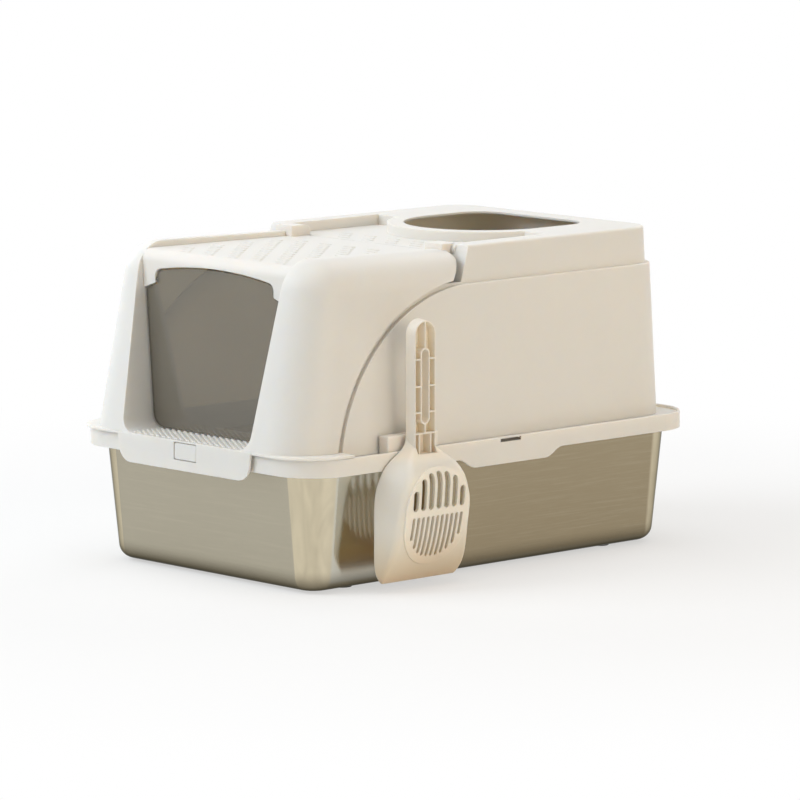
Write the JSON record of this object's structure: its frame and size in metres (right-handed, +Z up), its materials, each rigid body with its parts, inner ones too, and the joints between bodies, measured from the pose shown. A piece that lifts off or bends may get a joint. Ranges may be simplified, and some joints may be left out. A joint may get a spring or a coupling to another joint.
{
  "type": "enclosed litter box",
  "caption": "Enclosed litter box: steel pan, moulded rim, rear hood with a top opening, front hood that hinges up, swinging smoked flap, sprung latch and a scoop hung at the side.",
  "frame": {"origin": "on the floor under the middle of the pan", "axes": "+Z up, -Y the entry front, +X the side that the scoop hangs on"},
  "size_m": [0.4664, 0.6462, 0.3875],
  "materials": {
    "steel": "satin",
    "foot_rubber": "matte",
    "shell_plastic": "fine satin",
    "pin_steel": "satin",
    "smoked_flap": "smoked clear sheet",
    "scoop_plastic": "fine satin"
  },
  "bodies": {
    "pan": {"steel_pan": "steel", "pan_foot_front_left": "foot_rubber", "pan_foot_front_right": "foot_rubber", "pan_foot_rear_left": "foot_rubber", "pan_foot_rear_right": "foot_rubber"},
    "rim": {"rim_collar": "shell_plastic", "scoop_holder": "shell_plastic"},
    "rear_cover": {"rear_hood": "shell_plastic"},
    "front_cover": {"front_hood": "shell_plastic", "hinge_pin_left": "pin_steel", "hinge_pin_right": "pin_steel"},
    "flap": {"entry_flap": "smoked_flap"},
    "latch": {"front_latch": "shell_plastic"},
    "scoop": {"scoop": "scoop_plastic"}
  },
  "joints": [
    {"name": "rim_lift", "type": "slide", "parent": "pan", "child": "rim", "axis": [0, 0, 1], "range_m": [0, 0.1]},
    {"name": "rear_hood_lift", "type": "slide", "parent": "rim", "child": "rear_cover", "axis": [0, 0, 1], "range_m": [0, 0.1]},
    {"name": "front_hood_hinge", "type": "hinge", "parent": "rear_cover", "child": "front_cover", "pos_m": [0, -0.028, 0.379], "axis": [-1, 0, 0], "range_deg": [0, 95]},
    {"name": "flap_swing", "type": "hinge", "parent": "front_cover", "child": "flap", "pos_m": [0, -0.2745, 0.343], "axis": [1, 0, 0], "range_deg": [-75, 75]},
    {"name": "latch_flex", "type": "hinge", "parent": "front_cover", "child": "latch", "pos_m": [0.021, -0.3246, 0.153], "axis": [0, 0, 1], "range_deg": [0, 10], "stiffness_Nm_per_rad": 1},
    {"name": "scoop_lift", "type": "slide", "parent": "rim", "child": "scoop", "axis": [0, 0, 1], "range_m": [0, 0.1]}
  ]
}
